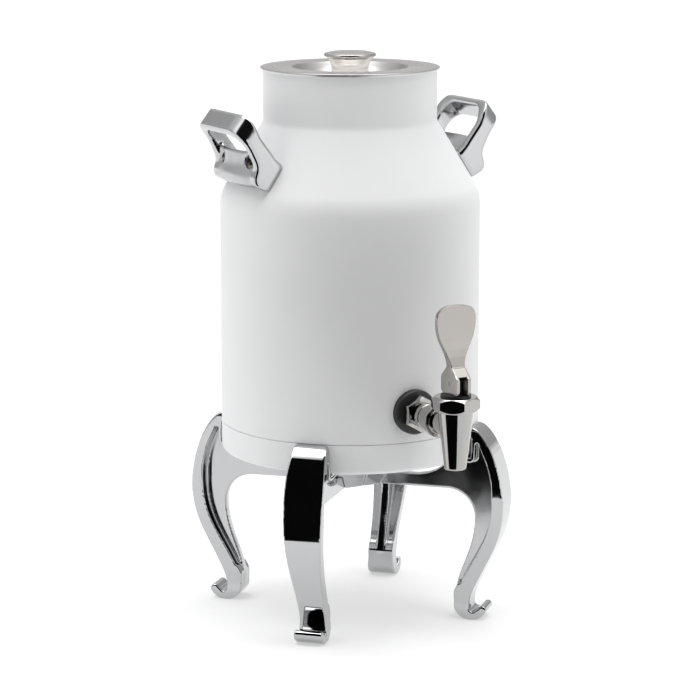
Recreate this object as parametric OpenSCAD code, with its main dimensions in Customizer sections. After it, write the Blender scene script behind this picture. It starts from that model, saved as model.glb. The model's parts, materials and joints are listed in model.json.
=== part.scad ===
// Insulated beverage urn on a four-legged stand, with two shoulder handles, a lift-off lid and a lever tap.
// Millimetres, +Z up. The origin is on the urn's axis at table height, and the tap points along -Y.

/* [Body] */
// Outside diameter of the body
body_d = 200; // [190:1:210]
// Height of the underside of the body above the table
body_bottom_z = 130.4; // [126:0.2:136]
// Height of the base pan, from the underside to the seam
base_h = 22.8; // [18:0.2:26]
// Height of the shell's straight wall above the seam
wall_h = 168.3; // [150:0.1:190]
// Radius of the bend between the wall and the shoulder cone
shoulder_r = 32; // [24:1:38]
// Lean of the shoulder cone from upright, in degrees
cone_angle = 31.2; // [28:0.2:34]
// Radius of the crease between the cone and the neck
crease_r = 8; // [4:0.5:12]
// Outside diameter of the neck
neck_d = 133; // [128:1:138]
// Height of the straight neck above the crease
neck_h = 36.6; // [30:0.2:44]
// Radius of the body's bottom edge
bottom_edge_r = 4; // [2:0.5:6]
// Thickness of the shell and base pan sheet
shell_t = 1; // [0.8:0.1:1.4]
// Width of the open seam between shell and base pan
seam_gap = 0.4; // [0.2:0.1:0.8]
// Height of the pan's upstand behind the seam
lap_h = 9; // [6:0.5:12]

/* [Liner] */
// Space between the outer shell and the liner
air_gap = 6; // [5:0.5:8]
// Thickness of the liner sheet
liner_t = 0.8; // [0.6:0.1:1.2]
// Space between the base pan's floor and the liner's floor
floor_gap = 5; // [4:0.5:8]
// Radius of the liner's bottom edge
liner_edge_r = 10; // [6:1:14]
// How far the liner's lip reaches past the neck
lip_over = 0.3; // [0.1:0.1:0.6]
// Diameter of the pad that carries the liner's floor
pad_d = 120; // [100:5:150]

/* [Lid] */
// Diameter of the lid's flange
lid_d = 137.2; // [134:0.2:142]
// Thickness of the lid sheet
lid_t = 1.4; // [1:0.1:1.8]
// Radius of the edge of the lid's well
well_r = 43.8; // [40:0.2:46]
// Depth of the lid's well
well_depth = 14; // [10:0.5:16]
// Radius of the curved side of the well
well_curve_r = 24; // [20:1:30]
// Depth of the plug below the neck's lip
plug_depth = 27; // [22:1:32]
// Space between the plug and the neck
plug_gap = 1.6; // [1.2:0.1:2.4]
// Thickness of the seal ring round the plug
seal_t = 1.2; // [0.8:0.1:1.5]
// Height of the seal ring
seal_h = 6; // [4:0.5:8]
// Diameter of the knob's rim
knob_d = 40.6; // [36:0.2:44]
// Diameter of the knob's waist
knob_waist_d = 29.2; // [26:0.2:32]
// Height of the knob's rim above the lid's flange
knob_rise = 9.6; // [8:0.2:14]
// Height of the knob's domed top
knob_dome = 2.1; // [1.5:0.1:3]

/* [Handles] */
// Distance between the outer faces of a handle's arms
handle_w = 72; // [68:1:76]
// Thickness of the arms, side to side
arm_t = 8; // [6:0.5:9]
// Thickness of the bar
bar_t = 6; // [5:0.25:7]
// Rise of the bar's flat face from level, in degrees
bar_angle = 38; // [35:1:42]
// Reach of the bar's face from the shoulder
arm_reach = 45.2; // [42:0.2:47]
// Radius of the loop's outer corners
loop_corner_r = 14; // [10:0.5:15]
// Height of the saddle between the arms, above its lower edge
saddle_h = 30; // [26:0.5:33]
// Turn of each handle screw about the urn's axis, away from the handle's middle, in degrees
handle_screw_turn = 12.5; // [11:0.5:13]
// Diameter of the handle screws
handle_screw_d = 5; // [4:0.5:6]
// Depth of the handle screws' heads below the saddle's face
well_sink = 5; // [4:0.5:6]

/* [Tap] */
// Height of the tap's shank above the table
tap_z = 177; // [172:0.5:184]
// Distance of the tap's axis from the body
tap_reach = 61; // [56:0.5:68]
// Diameter of the threaded shank
shank_d = 16; // [14:0.5:17]
// Diameter of the bore through the shank
shank_bore_d = 10.5; // [8:0.5:11.5]
// Diameter of the shank's plain barrel
barrel_d = 19.6; // [18.5:0.2:22]
// Width of both shank nuts across their flats
nut_af = 24; // [22.5:0.5:26]
// Thickness of the outer nut
outer_nut_t = 9; // [7:0.5:10]
// Thickness of the inner nut
inner_nut_t = 8; // [6:0.5:10]
// Diameter of the outer gasket
gasket_d = 34; // [32:0.5:38]
// Thickness of the gaskets at their thickest
gasket_t = 5; // [4:0.5:6]
// Diameter of the flange between barrel and tap
flange_d = 24.6; // [22:0.2:27]
// Thickness of that flange
flange_t = 3.5; // [3:0.25:5]
// Distance from the tap's axis to the flange's outer face
flange_off = 26; // [23:0.5:28]
// Height of the spout's mouth above the table
spout_z = 146; // [142:0.5:150]
// Diameter of the tap body at the spout's mouth
spout_d = 16.3; // [15:0.1:18]
// Diameter of the tap body under the bonnet
tap_top_d = 26.6; // [25:0.2:28]
// Height of the bonnet's underside above the shank's axis
bonnet_rise = 12.6; // [12:0.2:15]
// Diameter of the bonnet
bonnet_d = 36.4; // [34:0.2:39]
// Height of the bonnet
bonnet_h = 10.8; // [10:0.2:13]
// Thickness of the bonnet's top
bonnet_t = 3; // [2.5:0.1:4]
// Diameter of the valve chamber
chamber_d = 16; // [15:0.25:16.5]
// Diameter of the bore through the spout
spout_bore_d = 10.4; // [8:0.2:11]
// Height of the valve seat above the spout's mouth
seat_rise = 14; // [12:0.5:16]
// Diameter of the valve stem
stem_d = 6; // [5:0.25:6.5]
// Diameter of the spring's wire
spring_wire_d = 1.2; // [1:0.1:1.4]
// Mean diameter of the spring
spring_mean_d = 10; // [9.5:0.25:11]
// Number of turns in the spring
spring_turns = 7; // [5:1:9]

/* [Lever] */
// Width of the lever's block
block_w = 12; // [11:0.25:14]
// Length of the lever's block, front to back
block_l = 23; // [21:0.5:25]
// Height of the lever's block
block_h = 16; // [15:0.25:18]
// Radius of the block's two bottom edges
heel_r = 4; // [3:0.25:5]
// Height of the pin above the block's underside
pin_rise = 8; // [7:0.25:9]
// Diameter of the pin
pin_d = 3; // [2.5:0.25:3.5]
// Width of the slot in the block
slot_w = 6.6; // [6.2:0.1:7]
// Height of the paddle above the block
paddle_h = 50; // [44:0.5:56]
// Greatest width of the paddle
paddle_w = 33; // [30:0.5:36]
// Width of the paddle's neck
paddle_neck_w = 11.6; // [10:0.2:11.8]
// Thickness of the paddle
paddle_t = 3; // [2.4:0.1:4]
// Thickness of the washer under the block
washer_t = 1.4; // [1:0.1:2]

/* [Stand] */
// Radius from the urn's axis to the middle of each foot
foot_r = 100.5; // [96:0.5:106]
// How far a leg's knee stands out past the body
knee_out = 26.6; // [22:0.2:30]
// Height of the knee above the table
knee_z = 96; // [90:1:102]
// Height of a leg's top above the body's underside
leg_rise = 23.2; // [20:0.2:27]
// Width of a leg at the knee
knee_w = 30.4; // [28:0.2:34]
// Width of a leg at its top
leg_top_w = 26.6; // [24:0.2:29]
// Width of a leg at the ankle
ankle_w = 20.8; // [19:0.2:23]
// Width of a foot's toe
toe_w = 22.6; // [21.4:0.2:26]
// Thickness of the web in the middle of a leg
web_t = 7; // [6:0.25:9]
// Thickness of a leg's outer strap at its top
leg_strap_t = 6; // [5:0.25:7]
// Thickness of the ledge that carries the body
ledge_t = 4.4; // [4:0.2:6]
// How far the ledge reaches in under the body
ledge_reach = 24; // [20:1:30]
// Height of the arms' underside below the body
arm_drop = 28.4; // [26:0.2:32]
// Radius of the inside corner between arm and leg
arm_corner_r = 22; // [18:0.5:26]
// Width across two opposite sides of the hub at its underside
hub_low_w = 42; // [40:0.5:46]
// Width across two opposite sides of the hub at its top
hub_top_w = 57; // [48:0.5:60]
// Height of the hub
hub_h = 15; // [15:0.5:20]
// Height of the arms where they enter the hub
arm_h = 11; // [10:0.5:14]
// Width of the square plate let in to the hub's underside
plate_w = 36; // [35.5:0.5:37]
// Thickness of that plate
plate_t = 2.6; // [2.4:0.1:3.4]
// Radius of the circle of hub screws
hub_screw_r = 18.5; // [18:0.25:19]
// Diameter of the hub screws
hub_screw_d = 4; // [3:0.25:4.5]

/* [Fits] */
// Clearance between pieces that lift or slide past each other
slide_gap = 0.3; // [0.2:0.05:0.5]
// Clearance of threads, pins and tongues in their holes
fit_gap = 0.05; // [0.02:0.01:0.08]
// Clearance between the body's underside and the ledges that carry it
seat_gap = 0.05; // [0.02:0.01:0.1]

/* [Hidden] */

$fn = 96;
eps = 0.01;
big = 400;

// The origin is the middle of the whole urn from front to back, so its axis lies this far behind it
axis_y = (tap_reach + bonnet_d / 2) / 2;

body_r = body_d / 2;
neck_r = neck_d / 2;
seam_z = body_bottom_z + base_h;
wall_top_z = seam_z + wall_h;
cone_low = [body_r - shoulder_r * (1 - cos(cone_angle)), wall_top_z + shoulder_r * sin(cone_angle)];
cone_high_r = neck_r + crease_r * (1 - cos(cone_angle));
cone_high = [cone_high_r, cone_low.y + (cone_low.x - cone_high_r) / tan(cone_angle)];
neck_z = cone_high.y + crease_r * sin(cone_angle);
neck_top_z = neck_z + neck_h;
liner_inset = shell_t + air_gap;
liner_floor_z = body_bottom_z + shell_t + floor_gap;
lip_z = neck_top_z + liner_t;
lid_z = lip_z + lid_t;
mouth_r = neck_r - liner_inset - liner_t;
knob_screw_d = 5;
knob_hole_r = knob_screw_d / 2 + slide_gap;
chrome = "silver";
steel = "lightgray";
white = "whitesmoke";
black = "dimgray";

function unit(v) = v / norm(v);

// Points of an arc about a centre, from one angle to another
function arc(centre, r, from, to, n) =
    [for (i = [0:n]) centre + r * [cos(from + (to - from) * i / n), sin(from + (to - from) * i / n)]];

// A corner b between its neighbours a and c, rounded by a true arc of radius r
function corner(a, b, c, r, n) = r <= 0 ? [b] :
    let (u = unit(a - b), w = unit(c - b), half = acos(u * w) / 2,
        centre = b + unit(u + w) * r / sin(half),
        p = b + u * r / tan(half) - centre,
        q = b + w * r / tan(half) - centre,
        from = atan2(p.y, p.x),
        raw = atan2(q.y, q.x) - from,
        turn = raw > 180 ? raw - 360 : raw < -180 ? raw + 360 : raw)
    arc(centre, r, from, from + turn, n);

// A closed outline from points [x, y, radius], each corner rounded by its radius
function rounded(p, n = 5) = let (k = len(p))
    [for (i = [0:k - 1]) each corner([p[(i + k - 1) % k].x, p[(i + k - 1) % k].y], [p[i].x, p[i].y],
        [p[(i + 1) % k].x, p[(i + 1) % k].y], p[i][2], n)];

// A cubic curve from a to d with handles b and c
function bezier(a, b, c, d, n) = [for (i = [0:n]) let (t = i / n, s = 1 - t)
    s * s * s * a + 3 * s * s * t * b + 3 * s * t * t * c + t * t * t * d];

// Moves a shape from the origin to the urn's axis
module on_axis() {
    translate([0, axis_y, 0]) children();
}

// Turns an outline in x and z into a slab of the given width, centred on the plane y = 0
module slab(width) {
    rotate([90, 0, 0]) linear_extrude(width, center = true) children();
}

// A cylinder along +Y that starts at the given place
module along_y(x, y, z, r, length, sides = $fn) {
    translate([x, y, z]) rotate([-90, 0, 0]) cylinder(r = r, h = length, $fn = sides);
}

// The outside line of the body from a height up to the neck's top, moved inwards by inset
function body_line(inset, from_z) = concat(
    [[body_r - inset, from_z]],
    arc([body_r - shoulder_r, wall_top_z], shoulder_r - inset, 0, cone_angle, 5),
    arc([neck_r + crease_r, neck_z], crease_r + inset, 180 + cone_angle, 180, 4),
    [[neck_r - inset, neck_top_z]]);

function reversed(list) = [for (i = [len(list) - 1:-1:0]) list[i]];

// A solid of the body's outside, moved inwards by inset, used to cut what seats on the body
module body_space(inset) {
    rotate_extrude($fn = 240) polygon(concat([[0, body_bottom_z]], body_line(inset, body_bottom_z),
        [[0, neck_top_z]]));
}

// Shell and liner

module outer_shell() {
    on_axis() color(white) difference() {
        rotate_extrude() polygon(concat(body_line(0, seam_z + seam_gap),
            reversed(body_line(shell_t, seam_z + seam_gap))));
        along_y(0, -body_r - 5, tap_z, shank_d / 2 + slide_gap, 20);
        for (turn = [0, 180], side = [-1, 1])
            rotate(turn) handle_screw_axis(side) translate([0, 0, -10])
                cylinder(d = handle_screw_d + 2 * slide_gap, h = 20, $fn = 32);
    }
}

module base_pan() {
    lap_r = body_r - shell_t;
    on_axis() color(white) rotate_extrude() polygon(concat(
        [[0, body_bottom_z], [body_r - bottom_edge_r, body_bottom_z]],
        arc([body_r - bottom_edge_r, body_bottom_z + bottom_edge_r], bottom_edge_r, -90, 0, 6),
        [[body_r, seam_z], [lap_r, seam_z], [lap_r, seam_z + lap_h],
            [lap_r - shell_t, seam_z + lap_h], [lap_r - shell_t, seam_z - shell_t],
            [body_r - shell_t, seam_z - shell_t]],
        arc([body_r - bottom_edge_r, body_bottom_z + bottom_edge_r], bottom_edge_r - shell_t, 0, -90, 6),
        [[0, body_bottom_z + shell_t]]));
}

// The liner's section: floor, rounded edge, wall, cone and neck, moved inwards by inset
function liner_line(inset, floor_z, edge_r) = concat(
    [[0, floor_z]],
    arc([body_r - inset - edge_r, floor_z + edge_r], edge_r, -90, 0, 6),
    [for (p = body_line(inset, floor_z + edge_r)) if (p.y > floor_z + edge_r) p]);

module inner_liner() {
    outside = liner_line(liner_inset, liner_floor_z, liner_edge_r);
    inside = liner_line(liner_inset + liner_t, liner_floor_z + liner_t, liner_edge_r - liner_t);
    lip_r = neck_r + lip_over;
    on_axis() color(steel) difference() {
        rotate_extrude() polygon(concat(outside, [[lip_r, neck_top_z], [lip_r, lip_z], [mouth_r, lip_z]],
            reversed(inside)));
        along_y(0, -body_r, tap_z, shank_d / 2 + slide_gap, 40);
    }
}

module liner_pad() {
    on_axis() color(black) translate([0, 0, body_bottom_z + shell_t]) cylinder(d = pad_d, h = floor_gap);
}

// Lid

module lid_top() {
    floor_z = lid_z - well_depth;
    drop = well_depth - lid_t;
    bend = acos(1 - drop / well_curve_r);
    floor_r = well_r - well_curve_r * sin(bend);
    on_axis() color(steel) rotate_extrude() polygon(concat(
        [[knob_hole_r, floor_z - lid_t], [floor_r, floor_z - lid_t]],
        arc([floor_r, floor_z + well_curve_r - lid_t], well_curve_r, -90, -90 + bend, 8),
        [[well_r + lid_t, lip_z], [lid_d / 2 - lid_t / 2, lip_z]],
        arc([lid_d / 2 - lid_t / 2, lip_z + lid_t / 2], lid_t / 2, -90, 90, 6),
        [[well_r, lid_z]],
        reversed(arc([floor_r, floor_z + well_curve_r], well_curve_r - lid_t / 2, -90, -90 + bend, 8)),
        [[floor_r - lid_t, floor_z], [knob_hole_r, floor_z]]));
}

module lid_pan() {
    r = mouth_r - plug_gap;
    on_axis() color(steel) rotate_extrude() polygon(concat(
        [[0, lip_z - plug_depth]],
        arc([r - 4, lip_z - plug_depth + 4], 4, -90, 0, 5),
        [[r, lip_z], [r - lid_t, lip_z]],
        arc([r - 4, lip_z - plug_depth + 4], 4 - lid_t, 0, -90, 5),
        [[0, lip_z - plug_depth + lid_t]]));
}

module lid_seal() {
    r = mouth_r - plug_gap;
    z = lip_z - 9;
    on_axis() color(black) rotate_extrude() polygon([[r, z - seal_h], [r, z], [r + seal_t / 2, z],
        [r + seal_t, z - seal_h / 4], [r + seal_t / 2, z - seal_h / 2], [r + seal_t, z - seal_h * 3 / 4],
        [r + seal_t / 2, z - seal_h]]);
}

module lid_knob() {
    foot_z = lid_z - well_depth;
    rim_z = lid_z + knob_rise;
    rim_r = knob_d / 2;
    waist_r = knob_waist_d / 2;
    waist_z = foot_z + (rim_z - foot_z) * 0.45;
    on_axis() color(steel) difference() {
        rotate_extrude() polygon(concat(
            [[0, foot_z], [waist_r + 1.5, foot_z]],
            bezier([waist_r + 1.5, foot_z + 1], [waist_r, foot_z + 4], [waist_r - 0.4, waist_z],
                [waist_r + 0.6, waist_z + 3], 5),
            bezier([waist_r + 0.9, waist_z + 4], [waist_r + 1.6, rim_z - 5], [rim_r - 3, rim_z - 2.6],
                [rim_r - 0.6, rim_z - 1.6], 5),
            arc([rim_r - 1, rim_z - 0.8], 1, -60, 80, 5),
            bezier([rim_r - 1.5, rim_z + 0.25], [rim_r * 0.75, rim_z + knob_dome * 0.7],
                [rim_r * 0.4, rim_z + knob_dome], [0, rim_z + knob_dome], 6)));
        translate([0, 0, foot_z - 1]) cylinder(d = knob_screw_d + 2 * fit_gap, h = 15);
    }
}

module knob_screw() {
    seat_z = lid_z - well_depth - lid_t;
    on_axis() color(steel) union() {
        translate([0, 0, seat_z]) cylinder(d = knob_screw_d, h = 13);
        translate([0, 0, seat_z - 3]) cylinder(d = 2 * knob_screw_d, h = 3);
    }
}

// Handles

// The point on the shoulder from which the arms are measured
handle_base = [body_r - 14, cone_low.y + 12];

// Places a shape on the axis of a handle screw, with +Z pointing out of the shoulder
module handle_screw_axis(side) {
    rotate(side * handle_screw_turn) translate([handle_base.x + 1, 0, handle_base.y + 4.4])
        rotate([0, 90 - cone_angle, 0]) children();
}

screw_head_z = 13 - well_sink;

// Side view of the arms and the bar, as radius and height: root, lip, waist, then round the bar
module arm_profile() {
    b = handle_base;
    polygon(rounded([[b.x - 10, b.y + 7, 0], [b.x - 12, b.y - 8, 0], [b.x + 2.5, b.y - 10.6, 0],
        [b.x + 15.4, b.y - 4, 7], [b.x + 11, b.y + 8.4, 10], [b.x + 18.4, b.y + 24, 34],
        [b.x + 30, b.y + 36.4, 3.4], [b.x + 19, b.y + 49.8, 3], [b.x + 11.6, b.y + 39.4, 14],
        [b.x + 8.6, b.y + 31.6, 20], [b.x, b.y + 20.6, 20], [b.x - 5.8, b.y + 12.5, 0]], 10));
}

// Section of the saddle, which runs round with the shoulder: lip, scoop, rim and back
module saddle_profile() {
    b = handle_base;
    top = b.y - 10.6 + saddle_h;
    polygon(rounded([[b.x - 10, b.y + 5, 0], [b.x - 12, b.y - 8, 0], [b.x + 3.5, b.y - 10.6, 0],
        [b.x + 19, b.y - 4.6, 7], [b.x + 14, b.y + 9, 16], [b.x + 14.2, top - 0.4, 1],
        [b.x + 12.2, top + 0.2, 1], [b.x + 3, top - 4.4, 6], [b.x - 4, top - 10.4, 6]], 10));
}

// Front view of the loop, as distance from the middle and distance out to the bar
module loop_profile() {
    w = handle_w / 2;
    low = -40;
    inner_r = loop_corner_r - 2;
    difference() {
        polygon(rounded([[-w, low, 0], [w, low, 0], [w, arm_reach, loop_corner_r],
            [-w, arm_reach, loop_corner_r]], 14));
        polygon(rounded([[-w + arm_t, low - 1, 0], [w - arm_t, low - 1, 0],
            [w - arm_t, arm_reach - bar_t, inner_r], [-w + arm_t, arm_reach - bar_t, inner_r]], 14));
    }
}

module handle_plus_x() {
    color(chrome) difference() {
        union() {
            intersection() {
                slab(handle_w) arm_profile();
                translate([handle_base.x, 0, handle_base.y]) rotate([0, 90 - bar_angle, 0])
                    rotate([90, 0, 90]) linear_extrude(160, center = true) loop_profile();
            }
            intersection() {
                rotate_extrude($fn = 360) saddle_profile();
                translate([0, -handle_w / 2 + 1, 0]) cube([big, handle_w - 2, big + body_r]);
            }
        }
        body_space(0);
        for (side = [-1, 1]) handle_screw_axis(side) {
            translate([0, 0, -10]) cylinder(d = handle_screw_d + 2 * slide_gap, h = 20, $fn = 32);
            translate([0, 0, screw_head_z]) cylinder(d = handle_screw_d * 1.7 + 2 * slide_gap, h = 13, $fn = 32);
        }
    }
}

module handle_left() {
    on_axis() rotate(180) handle_plus_x();
}

module handle_right() {
    on_axis() handle_plus_x();
}

module handle_screws() {
    head_h = 3.6;
    on_axis() color(steel) for (turn = [0, 180], side = [-1, 1]) rotate(turn) handle_screw_axis(side) difference() {
        union() {
            translate([0, 0, -air_gap - 0.6]) cylinder(d = handle_screw_d, h = screw_head_z + air_gap + 1.6, $fn = 32);
            translate([0, 0, screw_head_z]) cylinder(d = handle_screw_d * 1.7, h = head_h, $fn = 32);
        }
        translate([0, 0, screw_head_z + head_h * 0.3]) cylinder(d = handle_screw_d * 0.8, h = head_h, $fn = 6);
    }
}

// Round nuts inside the shell, shaped to the shoulder
module handle_nuts() {
    on_axis() color(steel) for (turn = [0, 180], side = [-1, 1]) rotate(turn) difference() {
        intersection() {
            handle_screw_axis(side) translate([0, 0, -20]) cylinder(d = handle_screw_d * 2, h = 30, $fn = 48);
            body_space(shell_t);
        }
        body_space(shell_t + air_gap - 1);
        handle_screw_axis(side) translate([0, 0, -30])
            cylinder(d = handle_screw_d + 2 * fit_gap, h = 50, $fn = 32);
    }
}

// Tap and shank

tap_y = -(body_r + tap_reach);
outer_nut_y = -(body_r + gasket_t);
barrel_y = outer_nut_y - outer_nut_t;
flange_y = tap_y + flange_off;
liner_in_r = body_r - liner_inset - liner_t;
inner_nut_y = -(liner_in_r - gasket_t);
bonnet_z = tap_z + bonnet_rise;
bonnet_top_z = bonnet_z + bonnet_h;
seal_thick = 0.9;
body_top_z = bonnet_top_z - bonnet_t - seal_thick;
seat_z = spout_z + seat_rise;
block_z = bonnet_top_z + washer_t;
pin_z = block_z + pin_rise;
collar_z = seat_z + 13;
spigot_r = tap_top_d / 2 + 1;

module outer_gasket() {
    on_axis() color(black) difference() {
        along_y(0, outer_nut_y, tap_z, gasket_d / 2, gasket_t + 4);
        cylinder(r = body_r, h = big, $fn = 240);
        along_y(0, outer_nut_y - 1, tap_z, shank_d / 2 + fit_gap, 20);
    }
}

module shank_nut(y, thickness) {
    color(steel) difference() {
        intersection() {
            along_y(0, y, tap_z, nut_af / sqrt(3), thickness, 6);
            along_y(0, y, tap_z, nut_af / sqrt(3) - 0.4, thickness);
        }
        along_y(0, y - 1, tap_z, shank_d / 2 + fit_gap, thickness + 2);
    }
}

module outer_nut() {
    on_axis() shank_nut(barrel_y, outer_nut_t);
}

module inner_nut() {
    on_axis() shank_nut(inner_nut_y, inner_nut_t);
}

module spacer_sleeve() {
    on_axis() color(black) difference() {
        intersection() {
            along_y(0, -body_r, tap_z, shank_d / 2 + 3, 20);
            cylinder(r = body_r - shell_t, h = big, $fn = 240);
        }
        cylinder(r = body_r - liner_inset, h = big, $fn = 240);
        along_y(0, -body_r - 1, tap_z, shank_d / 2 + fit_gap, 30);
    }
}

module inner_gasket() {
    on_axis() color(black) difference() {
        intersection() {
            along_y(0, -liner_in_r, tap_z, gasket_d / 2 - 3, gasket_t);
            cylinder(r = liner_in_r, h = big, $fn = 240);
        }
        along_y(0, -body_r, tap_z, shank_d / 2 + fit_gap, 40);
    }
}

module tap_shank() {
    thread_len = inner_nut_y + inner_nut_t + 2 - barrel_y;
    on_axis() color(steel) difference() {
        union() {
            along_y(0, barrel_y, tap_z, shank_d / 2, thread_len);
            along_y(0, flange_y, tap_z, barrel_d / 2, barrel_y - flange_y);
        }
        along_y(0, flange_y - 1, tap_z, shank_bore_d / 2, 100);
    }
}

module tap_body() {
    r_low = spout_d / 2;
    r_top = tap_top_d / 2;
    on_axis() color(steel) difference() {
        union() {
            translate([0, tap_y, 0]) rotate_extrude() polygon(concat(
                [[0, spout_z], [r_low - 0.6, spout_z], [r_low, spout_z + 0.8], [r_top, bonnet_z],
                    [spigot_r, bonnet_z], [spigot_r, body_top_z], [0, body_top_z]]));
            along_y(0, tap_y, tap_z, barrel_d / 2 - 0.8, flange_off);
            along_y(0, flange_y - flange_t, tap_z, flange_d / 2, flange_t);
        }
        translate([0, tap_y, seat_z]) cylinder(d = chamber_d, h = 60);
        translate([0, tap_y, spout_z - 1]) cylinder(d = spout_bore_d, h = 40);
        along_y(0, tap_y, tap_z, shank_bore_d / 2, 60);
    }
}

module bonnet_seal() {
    on_axis() color(black) translate([0, tap_y, body_top_z]) difference() {
        cylinder(r = spigot_r, h = seal_thick);
        translate([0, 0, -1]) cylinder(d = chamber_d, h = 4);
    }
}

module tap_bonnet() {
    r = bonnet_d / 2;
    on_axis() color(steel) translate([0, tap_y, 0]) rotate_extrude() polygon([
        [stem_d / 2 + fit_gap, bonnet_top_z - bonnet_t], [spigot_r, bonnet_top_z - bonnet_t],
        [spigot_r, bonnet_z], [r - 2.6, bonnet_z], [r - 0.8, bonnet_z + 1.2], [r, bonnet_z + 3.4],
        [r, bonnet_top_z - 0.8], [r - 0.8, bonnet_top_z], [stem_d / 2 + fit_gap, bonnet_top_z]]);
}

module thrust_washer() {
    on_axis() color(black) translate([0, tap_y, bonnet_top_z]) difference() {
        cylinder(d = block_l - 0.6, h = washer_t);
        translate([0, 0, -1]) cylinder(r = stem_d / 2 + slide_gap, h = 4);
    }
}

module valve_stem() {
    tongue_t = slot_w - 2 * slide_gap;
    tongue_r = 4;
    on_axis() color(steel) translate([0, tap_y, 0]) difference() {
        union() {
            translate([0, 0, seat_z + 3]) cylinder(d = stem_d, h = block_z - seat_z - 2.9);
            translate([0, 0, collar_z]) cylinder(d = chamber_d - 2, h = 1.6);
            translate([0, 0, seat_z + 3]) cylinder(d = stem_d + 2, h = 2);
            intersection() {
                translate([-tongue_t / 2, -tongue_r, block_z]) cube([tongue_t, 2 * tongue_r, 20]);
                translate([-10, 0, 0]) rotate([0, 90, 0]) translate([0, 0, 0])
                    linear_extrude(20) translate([-pin_z, 0]) union() {
                        circle(r = tongue_r);
                        translate([0, -tongue_r]) square([pin_rise + 1, 2 * tongue_r]);
                    }
            }
        }
        translate([-10, 0, pin_z]) rotate([0, 90, 0]) cylinder(r = pin_d / 2 + fit_gap, h = 20, $fn = 48);
    }
}

module seat_cup() {
    r = chamber_d / 2 - 0.8;
    on_axis() color("white") translate([0, tap_y, 0]) difference() {
        rotate_extrude() polygon([[0, seat_z], [r - 1.2, seat_z], [r, seat_z + 1.6], [r - 0.8, seat_z + 7],
            [stem_d / 2 + 1.6, seat_z + 9], [0, seat_z + 9]]);
        translate([0, 0, seat_z + 3]) cylinder(d = stem_d + 2 * fit_gap, h = 10);
        translate([0, 0, seat_z + 3]) cylinder(d = stem_d + 2 + 2 * fit_gap, h = 2 + fit_gap);
    }
}

// The spring is one tube swept along a helix, with its end turns a little closer
module valve_spring() {
    sides = 6;
    steps = spring_turns * 12;
    low = collar_z + 1.6 + spring_wire_d / 2;
    high = bonnet_top_z - bonnet_t - spring_wire_d / 2;
    function rise(t) = t - 0.055 * sin(360 * t);
    function centre(i) = let (a = 30 * i)
        [spring_mean_d / 2 * cos(a), tap_y + spring_mean_d / 2 * sin(a), low + (high - low) * rise(i / steps)];
    rings = [for (i = [0:steps]) let (a = 30 * i) [for (k = [0:sides - 1])
        let (b = 360 * k / sides, out = spring_wire_d / 2 * cos(b))
        centre(i) + [out * cos(a), out * sin(a), spring_wire_d / 2 * sin(b)]]];
    faces = concat(
        [[for (k = [0:sides - 1]) k]],
        [for (i = [0:steps - 1], k = [0:sides - 1]) let (n = (k + 1) % sides)
            each [[i * sides + k, (i + 1) * sides + k, i * sides + n],
                [i * sides + n, (i + 1) * sides + k, (i + 1) * sides + n]]],
        [[for (k = [sides - 1:-1:0]) steps * sides + k]]);
    on_axis() color(steel) polyhedron([for (ring = rings) each ring], faces, convexity = 4);
}

// Front view of the lever's paddle, from its neck to its top
module paddle_outline() {
    n = paddle_neck_w / 2;
    w = paddle_w / 2;
    z = block_z + block_h;
    top = z + paddle_h;
    right = concat(
        bezier([n, z - 2], [n + 0.4, z + 3], [n - 0.3, z + 5], [n + 0.6, z + 8], 4),
        bezier([n + 1, z + 9.5], [n + 4, z + 19], [w, top - 25], [w, top - 12], 7),
        bezier([w, top - 11], [w, top - 3.5], [w * 0.72, top], [0, top], 7));
    polygon(concat(right, reversed([for (p = right) if (p.x > eps) [-p.x, p.y]])));
}

// Side view of the paddle, as distance in front of the pin and height
module paddle_side() {
    z = block_z + block_h;
    top = z + paddle_h;
    front = bezier([4.6, z - 1], [1.6, z + 9], [-0.6, top - 30], [0.6, top + 1], 8);
    back = bezier([-4.6, z - 1], [-3.2, z + 9], [-3.6, top - 30], [0.6 - paddle_t, top + 1], 8);
    polygon(concat(front, reversed(back)));
}

module tap_lever() {
    half_l = block_l / 2;
    slot_top = pin_rise + 6;
    on_axis() color(steel) translate([0, tap_y, 0]) difference() {
        union() {
            intersection() {
                rotate([90, 0, 90]) linear_extrude(block_w, center = true) polygon(rounded([
                    [-half_l, block_z, heel_r], [half_l, block_z, heel_r],
                    [half_l, block_z + block_h - 3.5, 1], [4.4, block_z + block_h + 4, 2],
                    [-4.4, block_z + block_h + 4, 2], [-half_l, block_z + block_h - 3.5, 1]]));
                slab(block_l + 2) polygon([[-block_w / 2, block_z - 1], [block_w / 2, block_z - 1],
                    [block_w / 2, block_z + block_h - 1], [paddle_neck_w / 2, block_z + block_h + 3],
                    [paddle_neck_w / 2, block_z + block_h + 6], [-paddle_neck_w / 2, block_z + block_h + 6],
                    [-paddle_neck_w / 2, block_z + block_h + 3], [-block_w / 2, block_z + block_h - 1]]);
            }
            intersection() {
                slab(40) paddle_outline();
                rotate([90, 0, -90]) linear_extrude(paddle_w + 4, center = true) paddle_side();
            }
        }
        translate([-slot_w / 2, -half_l - 1, block_z - 1]) cube([slot_w, block_l + 2, slot_top + 1]);
        translate([-block_w, 0, pin_z]) rotate([0, 90, 0]) cylinder(d = pin_d, h = 2 * block_w, $fn = 48);
    }
}

module lever_pin() {
    on_axis() color(steel) translate([-block_w / 2, tap_y, pin_z]) rotate([0, 90, 0])
        cylinder(d = pin_d, h = block_w, $fn = 48);
}

// Stand

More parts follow.
